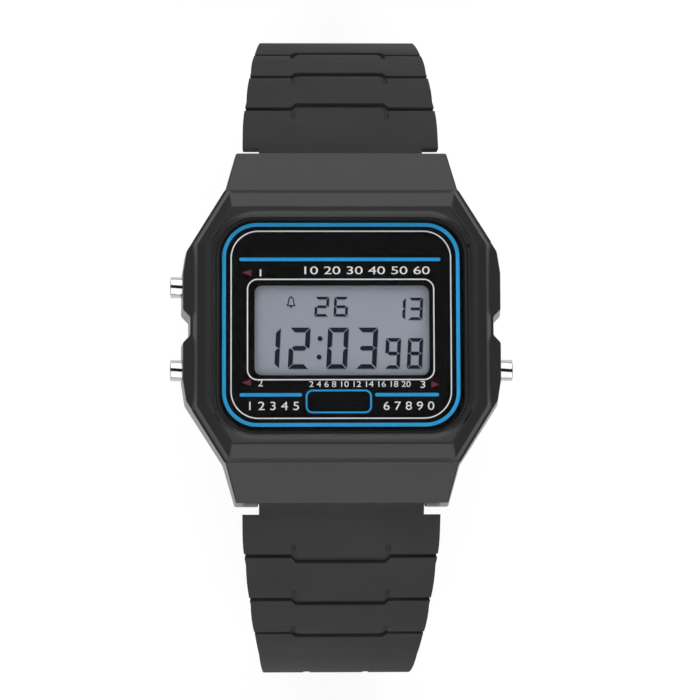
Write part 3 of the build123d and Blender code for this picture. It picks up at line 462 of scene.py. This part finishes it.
def soften(target, radius, segments=3, least_turn=28.0, clamp=True):
    """Round the edges where an object turns by so many degrees or more, and shade it smooth."""
    for polygon in target.data.polygons:
        polygon.use_smooth = True
    # The faces come apart from each other, each cut in triangles, and an edge needs both its faces
    weld = target.modifiers.new("weld", "WELD")
    weld.merge_threshold = WELD_REACH
    flats = target.modifiers.new("flats", "DECIMATE")
    flats.decimate_type = "DISSOLVE"
    flats.angle_limit = FLAT_ANGLE
    bevel = target.modifiers.new("edge", "BEVEL")
    bevel.width = radius
    bevel.segments = segments
    bevel.limit_method = "ANGLE"
    bevel.angle_limit = radians(least_turn)
    bevel.use_clamp_overlap = clamp
    bevel.harden_normals = clamp
    if not clamp:
        # The large faces keep their own slope, and only the rounded edges turn the light
        level = target.modifiers.new("level", "WEIGHTED_NORMAL")
        level.weight = 100


# Meshes


def metres(point):
    """A point given in millimetres, in metres."""
    return tuple(value * MM for value in point)


def add_piece(name, mesh, material):
    """Put a mesh in the scene as a piece that rides on the watch."""
    mesh.materials.clear()
    mesh.materials.append(material)
    piece = bpy.data.objects.new(name, mesh)
    bpy.context.scene.collection.objects.link(piece)
    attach(piece, "watch")


def finish_mesh(name, builder):
    """Turn a bmesh into a mesh with its faces turned outwards."""
    mesh = bpy.data.meshes.new(name)
    bmesh.ops.recalc_face_normals(builder, faces=builder.faces)
    builder.to_mesh(mesh)
    builder.free()
    return mesh


def raise_plate(builder, outline, low, high):
    """Add a thin plate with this outline."""
    bottom = [builder.verts.new((x, y, low)) for x, y in outline]
    top = [builder.verts.new((x, y, high)) for x, y in outline]
    builder.faces.new(top)
    builder.faces.new(bottom[::-1])
    for i in range(len(outline)):
        j = (i + 1) % len(outline)
        builder.faces.new((bottom[i], bottom[j], top[j], top[i]))


def rounded(width, depth, corner, centre, steps=12):
    """Outline of a rounded rectangle, with so many steps to each corner."""
    points = []
    for sx, sy, start in ((1, 1, 0), (-1, 1, 90), (-1, -1, 180), (1, -1, 270)):
        cx = centre[0] + sx * (width / 2 - corner)
        cy = centre[1] + sy * (depth / 2 - corner)
        for step in range(steps + 1):
            turn = radians(start + 90 * step / steps)
            points.append((cx + corner * cos(turn), cy + corner * sin(turn)))
    return points


def raise_line(builder, width, depth, corner, line, centre, low, high):
    """Add a line of the given thickness along a rounded rectangle."""
    outer = rounded(width + line, depth + line, corner + line / 2, centre)
    inner = rounded(width - line, depth - line, corner - line / 2, centre)
    loops = [
        [builder.verts.new((x, y, z)) for x, y in outline]
        for outline, z in ((outer, low), (outer, high), (inner, high), (inner, low))
    ]
    for first, second in zip(loops, loops[1:] + loops[:1]):
        for i in range(len(first)):
            j = (i + 1) % len(first)
            builder.faces.new((first[i], first[j], second[j], second[i]))


def stroke(first, second, line, centre):
    """Outline of a straight stroke of the given thickness between two points round a centre."""
    start, end = Vector(first), Vector(second)
    side = (end - start).orthogonal().normalized() * line / 2
    corners = (start + side, end + side, end - side, start - side)
    return [(corner.x + centre[0], corner.y + centre[1]) for corner in corners]


def digit_bars(digit, width, height, bar, gap):
    """Outlines of a seven-bar digit with mitred joints, its lower left corner at the origin."""
    w, h, t, g = width, height, bar, gap
    m, k = h / 2, bar / 2
    bars = {
        "a": [(g, h), (w - g, h), (w - t - g, h - t), (t + g, h - t)],
        "d": [(g, 0), (w - g, 0), (w - t - g, t), (t + g, t)],
        "b": [
            (w, h - g),
            (w, m + g / 2),
            (w - k, m + g / 2),
            (w - t, m + k + g / 2),
            (w - t, h - t - g),
        ],
        "c": [(w, g), (w, m - g / 2), (w - k, m - g / 2), (w - t, m - k - g / 2), (w - t, t + g)],
        "f": [(0, h - g), (0, m + g / 2), (k, m + g / 2), (t, m + k + g / 2), (t, h - t - g)],
        "e": [(0, g), (0, m - g / 2), (k, m - g / 2), (t, m - k - g / 2), (t, t + g)],
        "g": [
            (k + g, m),
            (t + g, m + k),
            (w - t - g, m + k),
            (w - k - g, m),
            (w - t - g, m - k),
            (t + g, m - k),
        ],
    }
    return [bars[letter] for letter in SEVEN[digit]]


# Operators


class WATCH_OT_case(bpy.types.Operator):
    """Finish the moulded case and its seals"""

    bl_idname = "watch.case"
    bl_label = "Case"

    def execute(self, context):
        body = context.scene.watch_body
        case = NODES["case_body"]
        # Moulded against a finely eroded tool: satin faces whose edges catch the light
        resin = moulded_resin("moulded case resin", body.resin, 0.34, body.grain, 0.38)
        paint(case, resin)
        # The clamp would let the case's shortest edge hold back the rounding of all the others
        soften(case, body.case_edge, least_turn=16.0, clamp=False)
        # Nitrile straight from its mould: black and dull, with a bloom 0.5 mm across
        rubber = mottled("moulded nitrile seal", to_linear("#161616"), 0.7, 0.5 * MM, IOR=1.52)
        for name in ("crystal_gasket", "back_gasket"):
            paint(NODES[name], rubber)
        return {"FINISHED"}


class WATCH_OT_strap(bpy.types.Operator):
    """Finish both strap halves and the keeper"""

    bl_idname = "watch.strap"
    bl_label = "Strap"

    def execute(self, context):
        body = context.scene.watch_body
        # A softer resin, moulded against a coarser tool: so matt that it hardly mirrors
        resin = moulded_resin("moulded strap resin", body.strap_resin, 0.7, body.grain, 0.04)
        for name in ("strap_upper", "strap_lower", "keeper"):
            paint(NODES[name], resin)
            soften(NODES[name], body.strap_edge, segments=2)
        return {"FINISHED"}


class WATCH_OT_metal(bpy.types.Operator):
    """Finish the pushers, the buckle, the spring bars, the case back and its screws"""

    bl_idname = "watch.metal"
    bl_label = "Metal"

    def execute(self, context):
        body = context.scene.watch_body
        # Polished, then plated: near a mirror, with a haze 0.4 mm across
        chrome = mottled("chromed brass", to_linear("#bcbdbe"), 0.1, 0.4 * MM, Metallic=1.0)
        # Brushed after stamping: greyer than the pushers, with lines drawn 0.09 mm apart
        steel = brushed_metal("brushed stainless steel", to_linear("#a9a9a8"), 0.32, 0.09 * MM)
        # Drawn wire and rod, left as drawn: a dull grey gleam
        spring = mottled("drawn spring steel", to_linear("#8f8f8d"), 0.3, 0.3 * MM, Metallic=1.0)
        # Moulded rubber rings: dull black
        seal = mottled("moulded seal", to_linear("#141414"), 0.7, 0.4 * MM, IOR=1.52)
        for name, target in NODES.items():
            if name.startswith(("pusher_spring", "pusher_clip", "spring_bar")):
                paint(target, spring)
            elif name.startswith("pusher_seal"):
                paint(target, seal)
            elif name.startswith("pusher_"):
                paint(target, chrome)
                soften(target, body.pusher_edge, least_turn=35.0)
        for name, radius in (
            ("buckle_frame", body.metal_edge),
            ("buckle_tongue", body.pin_edge),
            ("buckle_bar", body.pin_edge),
            ("case_back", body.back_edge),
            ("case_back_screws", body.screw_edge),
        ):
            paint(NODES[name], steel)
            soften(NODES[name], radius)
        self.shorten_springs()
        return {"FINISHED"}

    def shorten_springs(self):
        """Give each pusher's return spring, which the joints list as deforming, a mesh of its own.
        """
        for joint in frame["joints"]:
            for spring in joint.get("deforming_nodes", ()):
                if spring["node"].startswith("pusher_spring"):
                    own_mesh(NODES[spring["node"]])


class WATCH_OT_crystal(bpy.types.Operator):
    """Finish the clear window"""

    bl_idname = "watch.crystal"
    bl_label = "Crystal"

    def execute(self, context):
        paint(NODES["crystal"], polished_acrylic())
        return {"FINISHED"}


class WATCH_OT_face(bpy.types.Operator):
    """Print the panel's lines, bars, arrows and numerals"""

    bl_idname = "watch.face"
    bl_label = "Face print"

    def execute(self, context):
        face = context.scene.watch_face
        # Polycarbonate film printed black on its back and matt on its front, so it mirrors little
        film = mottled(
            "printed polycarbonate panel",
            face.panel,
            0.6,
            1.5 * MM,
            IOR=1.58,
            Specular_IOR_Level=0.05,
        )
        paint(NODES["face_panel"], film)
        # Ink pressed through a mesh lies flat and even: clear colours without a gleam
        blue = printed_ink("blue screen ink", face.blue)
        # The ring's ink is the bars' blue painted lighter: painted light, so the ring stays bright
        # in the bezel's shade
        ring_blue_painted_light = printed_ink("blue screen ink in two coats", face.ring_blue_painted_light)
        white = printed_ink("white screen ink", face.white)
        red = printed_ink("dark red screen ink", face.red)

        ring = (face.ring_width, face.ring_length, face.ring_corner, face.ring_line, RING_CENTRE)
        self.print_lines(face, "blue_ring", ring_blue_painted_light, (ring,))
        self.print_bars(face, blue)
        tablet = (
            face.tablet_width,
            face.tablet_length,
            face.tablet_corner,
            face.tablet_line,
            TABLET_CENTRE,
        )
        self.print_lines(face, "blue_tablet_line", blue, (tablet,))
        inner = (
            face.inner_width,
            face.inner_length,
            face.inner_corner,
            face.thin_line,
            RING_CENTRE,
        )
        window = (
            face.window_width,
            face.window_length,
            face.window_corner,
            face.thin_line,
            WINDOW_CENTRE,
        )
        self.print_lines(face, "white_lines", white, (inner, window))
        self.print_arrows(face, red)
        for name, words, tall, wide, centre in NUMERALS:
            self.print_numerals(face, name, words, tall, wide, centre, white)
        return {"FINISHED"}

    def ink_heights(self, face):
        """The ink's root in the panel and its top, in metres."""
        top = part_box("face_panel")[1].z
        return top - face.ink, top + face.ink

    def print_lines(self, face, name, ink, shapes):
        """Print lines along rounded rectangles."""
        builder = bmesh.new()
        for width, depth, corner, line, centre in shapes:
            raise_line(
                builder, width, depth, corner, line, metres(centre), *self.ink_heights(face)
            )
        add_piece(name, finish_mesh(name, builder), ink)

    def print_bars(self, face, ink):
        """Print the three bars above and below the display."""
        builder = bmesh.new()
        bar = face.bar_line
        for left, right, height in BARS:
            middle = metres(((left + right) / 2, height))
            outline = rounded((right - left) * MM, bar, bar * BAR_END_SHARE, middle, steps=4)
            raise_plate(builder, outline, *self.ink_heights(face))
        add_piece("blue_bars", finish_mesh("blue_bars", builder), ink)

    def print_arrows(self, face, ink):
        """Print an arrow that points at each pusher."""
        builder = bmesh.new()
        for tip, base, height in ARROWS:
            outline = (
                (tip, height),
                (base, height + ARROW_HALF_BASE),
                (base, height - ARROW_HALF_BASE),
            )
            raise_plate(builder, [metres(point) for point in outline], *self.ink_heights(face))
        add_piece("pusher_arrows", finish_mesh("pusher_arrows", builder), ink)

    def print_numerals(self, face, name, words, tall, wide, centre, ink):
        """Print plain numerals of this height and width round a centre, in millimetres."""
        curve = bpy.data.curves.new(name, "FONT")
        curve.body = words
        curve.extrude = NUMERAL_INK
        written = bpy.data.objects.new(name, curve)
        bpy.context.scene.collection.objects.link(written)
        bpy.context.view_layer.update()
        mesh = bpy.data.meshes.new_from_object(written)
        bpy.data.objects.remove(written)
        across = [vertex.co.x for vertex in mesh.vertices]
        along = [vertex.co.y for vertex in mesh.vertices]
        left, right = min(across), max(across)
        foot, head = min(along), max(along)
        middle = Vector(((left + right) / 2, (foot + head) / 2, 0.0))
        stretch = Vector((wide / (right - left), tall / (head - foot), 1.0))
        top = self.ink_heights(face)[1]
        mesh.transform(
            Matrix.Translation((*metres(centre), top))
            @ Matrix.Diagonal((stretch * MM).to_4d())
            @ Matrix.Translation(-middle)
        )
        add_piece(name, mesh, ink)


class WATCH_OT_display(bpy.types.Operator):
    """Lay the dark segments on the display"""

    bl_idname = "watch.display"
    bl_label = "Display"

    def execute(self, context):
        display = context.scene.watch_display
        # Rear reflector seen through the liquid crystal: matt, even, a cool mid grey
        ground = self.film("lcd reflective ground", display.ground, 0.12)
        # Liquid crystal that holds the light back: a blue black, as matt as the ground
        dark = self.film("lcd dark segment", display.digit, 0.4)
        # The segment's shadow on the reflector behind it: a touch darker than the ground
        faint = self.film("lcd segment shadow", display.shadow, 0.4)
        for name in ("lcd_front_polariser", "lcd_glass", "lcd_reflector"):
            paint(NODES[name], ground)
        outlines = [
            *self.digit_outlines(display),
            *self.colon_outlines(display),
            *self.bell_outlines(),
        ]
        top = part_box("lcd_front_polariser")[1].z
        for name, material, shift, rise in (
            ("segment_shadow", faint, SHADOW_SHIFT, SHADOW_RISE),
            ("segments", dark, (0.0, 0.0), SEGMENT_RISE),
        ):
            builder = bmesh.new()
            for outline in outlines:
                points = [metres((x + shift[0], y + shift[1])) for x, y in outline]
                raise_plate(builder, points, top - SEGMENT_ROOT * MM, top + rise * MM)
            add_piece(name, finish_mesh(name, builder), material)
        return {"FINISHED"}

    def film(self, name, base, size):
        """Matt film whose tone varies over a size in millimetres."""
        return mottled(name, base, 0.6, size * MM, IOR=1.5, Specular_IOR_Level=0.1)

    def digit_outlines(self, display):
        """Outlines of every lit bar of every digit, in millimetres."""
        outlines = []
        for row, (lefts, foot, width, height, bar, gap) in DIGIT_ROWS.items():
            digits = getattr(display, row).replace(":", "")
            for digit, left in zip(digits, lefts):
                for outline in digit_bars(digit, width, height, bar, gap):
                    outlines.append(
                        [(left + x + y * sin(display.slant), foot + y) for x, y in outline]
                    )
        return outlines

    def colon_outlines(self, display):
        """Outlines of the colon's two dots, which lean with the digits."""
        outlines = []
        turns = [radians(360 * side / COLON_SIDES) for side in range(COLON_SIDES)]
        for height in COLON_HEIGHTS:
            across = COLON_ACROSS + (height - DIGIT_FOOT) * sin(display.slant)
            outlines.append(
                [(across + COLON_RADIUS * cos(t), height + COLON_RADIUS * sin(t)) for t in turns]
            )
        return outlines

    def bell_outlines(self):
        """Outlines of the bell: a dome on a flared rim, drawn as a line, with clapper and knob."""
        dome = [
            (BELL_DOME * cos(radians(turn)), BELL_DOME_HEIGHT + BELL_DOME * sin(radians(turn)))
            for turn in range(0, 181, 30)
        ]
        far_flare = [(-x, y) for x, y in reversed(BELL_FLARE)]
        bell = [*BELL_FLARE, *dome, *far_flare, BELL_FLARE[0]]
        strokes = [(first, second, BELL_LINE) for first, second in zip(bell, bell[1:])]
        strokes += [BELL_CLAPPER, BELL_KNOB]
        return [stroke(first, second, line, BELL_CENTRE) for first, second, line in strokes]


class WATCH_OT_module(bpy.types.Operator):
    """Finish the parts inside the case"""

    bl_idname = "watch.module"
    bl_label = "Module"

    # Name, colour, roughness, size of the mottle in millimetres, IOR, and what is made of it
    plastics = (
        # Moulded in one with its pegs: matt and nearly black
        ("moulded ABS frame", "#1a1a1b", 0.6, 1.0, 1.54, ("module_frame",)),
        # Woven glass under a green lacquer: a half gloss
        ("glass epoxy board", "#2d5a35", 0.4, 0.6, 1.55, ("circuit_board",)),
        # Pressed in a hot mould: black, with a stony half gloss
        ("moulded epoxy package", "#131314", 0.45, 0.8, 1.55, ("driver_chip",)),
        # Cast film: amber and shiny
        ("polyimide film", "#b8691c", 0.3, 1.0, 1.7, ("insulator_film",)),
        # Dipped in a white coat: warm and milky
        ("frosted lamp", "#e8dfb8", 0.4, 0.4, 1.5, ("lamp",)),
        # Moulded and left with its tool's polish: pale, with a clean gleam
        ("moulded polystyrene guide", "#d9dedb", 0.2, 1.0, 1.59, ("light_guide",)),
        # Black and white layers pressed together, 0.2 mm apart: a dull mid grey
        ("layered silicone strip", "#8a8a8d", 0.6, 0.2, 1.43, ("lcd_connectors",)),
        # Fired and unglazed: chalky and cream
        ("fired ceramic", "#d8d2c2", 0.6, 0.5, 1.6, ("buzzer_ceramic", "chip_capacitors")),
    )

    def execute(self, context):
        for name, hex_colour, roughness, size, ior, nodes in self.plastics:
            material = mottled(name, to_linear(hex_colour), roughness, size * MM, IOR=ior)
            self.paint_all(nodes, material)
        # Rolled and stamped: yellow and fairly bright
        brass = mottled("rolled brass", to_linear("#c8a04c"), 0.3, 0.8 * MM, Metallic=1.0)
        self.paint_all(
            ("buzzer_plate", "battery_contact", "buzzer_spring", "switch_contacts"), brass
        )
        # Drawn cans, plated and tumbled: a pale, finely lined grey
        nickel = brushed_metal("nickel plated steel", to_linear("#b9b8b3"), 0.28, 0.1 * MM)
        self.paint_all(("battery_cell", "battery_clip", "quartz_resonator"), nickel)
        return {"FINISHED"}

    def paint_all(self, names, material):
        """Give all these nodes one material."""
        for name in names:
            paint(NODES[name], material)


class WATCH_OT_stage(bpy.types.Operator):
    """Set the floor, the lamps, the world and the camera"""

    bl_idname = "watch.stage"
    bl_label = "Stage"

    def execute(self, context):
        scene = context.scene
        stage = scene.watch_stage
        scene.view_settings.view_transform = "Standard"
        self.lay_card(stage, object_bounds()[0][2] - CARD_DROP)
        self.build_room(scene, stage)
        self.hang_boxes(stage)
        self.place_camera(scene, stage)
        return {"FINISHED"}

    def lay_card(self, stage, height):
        """Grey card that glows white to the camera and to glossy faces, and keeps a shadow."""
        builder = bmesh.new()
        bmesh.ops.create_grid(builder, x_segments=CARD_CELLS, y_segments=CARD_CELLS, size=CARD_HALF)
        mesh = bpy.data.meshes.new("floor")
        builder.to_mesh(mesh)
        builder.free()
        floor = bpy.data.objects.new("floor", mesh)
        floor.location.z = height
        bpy.context.scene.collection.objects.link(floor)
        material, tree, shader = new_material(
            "matt card", Base_Color=stage.floor, Roughness=0.9, Specular_IOR_Level=0.0
        )
        shader.inputs["Emission Color"].default_value = (1.0, 1.0, 1.0, 1.0)
        path = node(tree, "ShaderNodeLightPath")
        where = node(tree, "ShaderNodeTexCoord").outputs["Object"]
        away = node(tree, "ShaderNodeVectorMath", {0: where}, operation="LENGTH")
        # Polished and moulded faces see a lit patch below the watch and a darker card round it
        patch = node(
            tree,
            "ShaderNodeMapRange",
            {
                "Value": away.outputs["Value"],
                "From Min": stage.patch,
                "From Max": 2 * stage.patch,
                "To Min": 1.0,
                "To Max": FAR_MIRROR,
            },
        )
        mirrored = node(
            tree,
            "ShaderNodeMath",
            {0: path.outputs["Is Glossy Ray"], 1: patch.outputs["Result"]},
            operation="MULTIPLY",
        )
        seen = node(
            tree,
            "ShaderNodeMath",
            {0: path.outputs["Is Camera Ray"], 1: mirrored.outputs[0]},
            operation="MAXIMUM",
        )
        # Beyond the boxes' reach the card glows more, so that no horizon shows
        reach = node(
            tree,
            "ShaderNodeMapRange",
            {
                "Value": away.outputs["Value"],
                "From Min": GLOW_START,
                "From Max": GLOW_END,
                "To Min": CARD_GLOW,
                "To Max": 1.0,
            },
        )
        glow = node(
            tree,
            "ShaderNodeMath",
            {0: seen.outputs[0], 1: reach.outputs["Result"]},
            operation="MULTIPLY",
        )
        tree.links.new(glow.outputs[0], shader.inputs["Emission Strength"])
        mesh.materials.append(material)
        floor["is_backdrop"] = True

    def build_room(self, scene, stage):
        """A dim room with a dark port above, white where the camera looks straight at it."""
        world = bpy.data.worlds.new("dim studio")
        scene.world = world
        world.use_nodes = True
        tree = world.node_tree
        tree.nodes.clear()
        path = node(tree, "ShaderNodeLightPath")
        # The crystal holds back the boxes' light, so the face below it gets more from the walls
        walls = node(
            tree,
            "ShaderNodeMapRange",
            {
                "Value": path.outputs["Is Transmission Ray"],
                "To Min": stage.walls,
                "To Max": stage.through,
            },
        )
        # The camera's port straight above is darker than the walls, so the crystal mirrors black
        towards = node(tree, "ShaderNodeTexCoord").outputs["Generated"]
        aim = node(tree, "ShaderNodeSeparateXYZ", {0: towards})
        port = node(
            tree,
            "ShaderNodeMapRange",
            {
                "Value": aim.outputs["Z"],
                "From Min": PORT_EDGE,
                "From Max": PORT_CORE,
                "To Min": walls.outputs["Result"],
                "To Max": PORT,
            },
        )
        strength = node(
            tree,
            "ShaderNodeMapRange",
            {
                "Value": path.outputs["Is Camera Ray"],
                "To Min": port.outputs["Result"],
                "To Max": 1.0,
            },
        )
        shine = node(
            tree,
            "ShaderNodeBackground",
            {"Color": (1.0, 1.0, 1.0, 1.0), "Strength": strength.outputs["Result"]},
        )
        node(tree, "ShaderNodeOutputWorld", {"Surface": shine.outputs["Background"]})

    def hang_boxes(self, stage):
        """Two long soft boxes over 12 and 6 o'clock, with a dark gap straight above the watch."""
        for name, side, share in BOXES:
            lamp = bpy.data.lights.new(name, "AREA")
            lamp.shape = "RECTANGLE"
            lamp.energy = share * stage.lamp_power
            lamp.size, lamp.size_y = BOX_SIZE
            box = bpy.data.objects.new(name, lamp)
            box.location = (0.0, side * BOX_OUT, BOX_UP)
            box.rotation_euler = (-box.location).to_track_quat("-Z", "Y").to_euler()
            bpy.context.scene.collection.objects.link(box)

    def place_camera(self, scene, stage):
        """The camera stands over the crystal, leaning towards 6 o'clock."""
        lens = bpy.data.cameras.new("camera")
        lens.lens = stage.focal
        # A full-frame camera that sees from 1 cm to 10 m
        lens.sensor_width = 36.0
        lens.clip_start = 0.01
        lens.clip_end = 10.0
        lens.shift_x, lens.shift_y = (pixels / PHOTO_SIDE for pixels in PHOTO_SHIFT)
        camera = bpy.data.objects.new("camera", lens)
        scene.collection.objects.link(camera)
        target = Vector((0.0, 0.0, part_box("crystal")[1].z))
        turn = (
            Matrix.Rotation(stage.tilt, 4, "X")
            @ Matrix.Rotation(-stage.side_tilt, 4, "Y")
            @ Matrix.Rotation(stage.roll, 4, "Z")
        )
        back = Matrix.Translation((0, 0, stage.distance))
        camera.matrix_world = Matrix.Translation(target) @ turn @ back
        scene.camera = camera


class WATCH_PT_panel(bpy.types.Panel):
    """Watch tools in the sidebar"""

    bl_label = "Digital watch"
    bl_idname = "WATCH_PT_panel"
    bl_space_type = "VIEW_3D"
    bl_region_type = "UI"
    bl_category = "Watch"

    def draw(self, context):
        for operator in OPERATORS:
            self.layout.operator(operator.bl_idname)
        for name in SETTINGS:
            group = getattr(context.scene, name)
            box = self.layout.box()
            for field in group.bl_rna.properties.keys():
                if field not in ("rna_type", "name"):
                    box.prop(group, field)


OPERATORS = (
    WATCH_OT_case,
    WATCH_OT_strap,
    WATCH_OT_metal,
    WATCH_OT_crystal,
    WATCH_OT_face,
    WATCH_OT_display,
    WATCH_OT_module,
    WATCH_OT_stage,
)
SETTINGS = {
    "watch_body": WATCH_PG_body,
    "watch_face": WATCH_PG_face,
    "watch_display": WATCH_PG_display,
    "watch_stage": WATCH_PG_stage,
}


def register():
    """Add the settings, the operators and the panel to Blender."""
    for group in SETTINGS.values():
        bpy.utils.register_class(group)
    for operator in OPERATORS:
        bpy.utils.register_class(operator)
    bpy.utils.register_class(WATCH_PT_panel)
    for name, group in SETTINGS.items():
        setattr(bpy.types.Scene, name, bpy.props.PointerProperty(type=group))


def unregister():
    """Take them out again, last first."""
    for name in SETTINGS:
        delattr(bpy.types.Scene, name)
    bpy.utils.unregister_class(WATCH_PT_panel)
    for operator in reversed(OPERATORS):
        bpy.utils.unregister_class(operator)
    for group in SETTINGS.values():
        bpy.utils.unregister_class(group)


def main():
    """Dress the watch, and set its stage."""
    register()
    bpy.ops.watch.case()
    bpy.ops.watch.strap()
    bpy.ops.watch.metal()
    bpy.ops.watch.crystal()
    bpy.ops.watch.face()
    bpy.ops.watch.display()
    bpy.ops.watch.module()
    bpy.ops.watch.stage()


if __name__ == "__main__":
    main()
